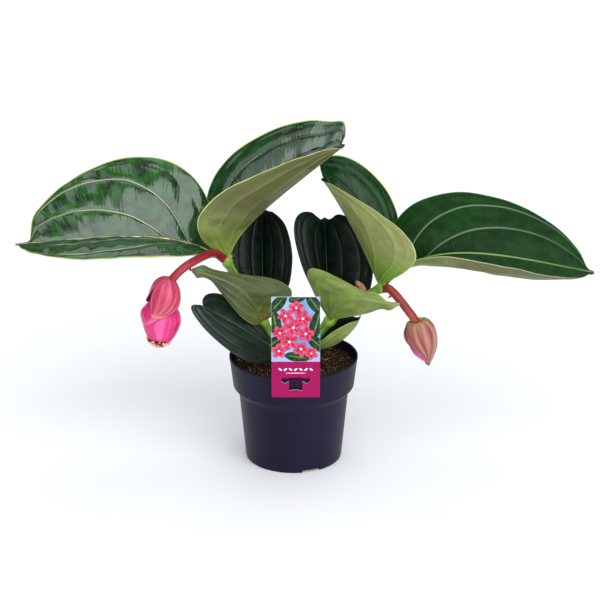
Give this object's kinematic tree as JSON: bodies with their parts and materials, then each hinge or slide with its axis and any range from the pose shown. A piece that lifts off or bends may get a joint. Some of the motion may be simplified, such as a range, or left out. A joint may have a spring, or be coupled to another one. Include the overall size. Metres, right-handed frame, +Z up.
{
  "type": "potted medinilla plant",
  "caption": "Flowering medinilla in a plastic nursery pot: broad ribbed leaves on square stems, a pink hanging bloom, a closed bud and a plant tag over the rim.",
  "frame": {"origin": "centre of the pot's underside, on the surface that the pot stands on", "axes": "+Z up along the pot's axis, -Y towards the side that carries the plant tag, +X to the right of the tag as it is read"},
  "size_m": [0.6072, 0.1706, 0.365],
  "materials": {
    "pot_plastic": "dark aubergine-black moulded plastic with a soft sheen",
    "potting_soil": "damp dark brown peat with fibres and a few white grains, rough",
    "tag_card": "printed plastic card, magenta band under a light picture field, satin",
    "green_stem": "fresh green square stem, satin",
    "red_stalk": "crimson to brick-red flower stalk, satin",
    "leaf": "dark green glossy upper side, paler olive matt underside, light veins",
    "coral_bract": "coral-pink ridged bract, satin",
    "pink_bract": "hot pink smooth bract, satin",
    "flower_bud": "pale pink and cream beads, satin",
    "dusty_bract": "dusty rose and tan ridged bract, satin",
    "young_shoot": "pinkish-brown young shoot, satin"
  },
  "bodies": {
    "root": {"pot": "pot_plastic", "soil": "potting_soil", "tag": "tag_card", "stem_left": "green_stem", "stem_right": "green_stem", "stalk_left": "red_stalk", "stalk_right": "red_stalk", "leaf_left_long": "leaf", "leaf_left_top": "leaf", "leaf_right_top": "leaf", "leaf_right_long": "leaf", "leaf_back_left": "leaf", "leaf_back_right": "leaf", "leaf_front_left": "leaf", "leaf_low_left": "leaf", "leaf_front_right": "leaf", "leaf_low_right": "leaf", "bloom_outer_bracts": "coral_bract", "bloom_inner_bracts": "pink_bract", "bloom_flower_buds": "flower_bud", "bud_outer_bracts": "dusty_bract", "bud_inner_bracts": "pink_bract", "sprout": "young_shoot"}
  },
  "joints": []
}
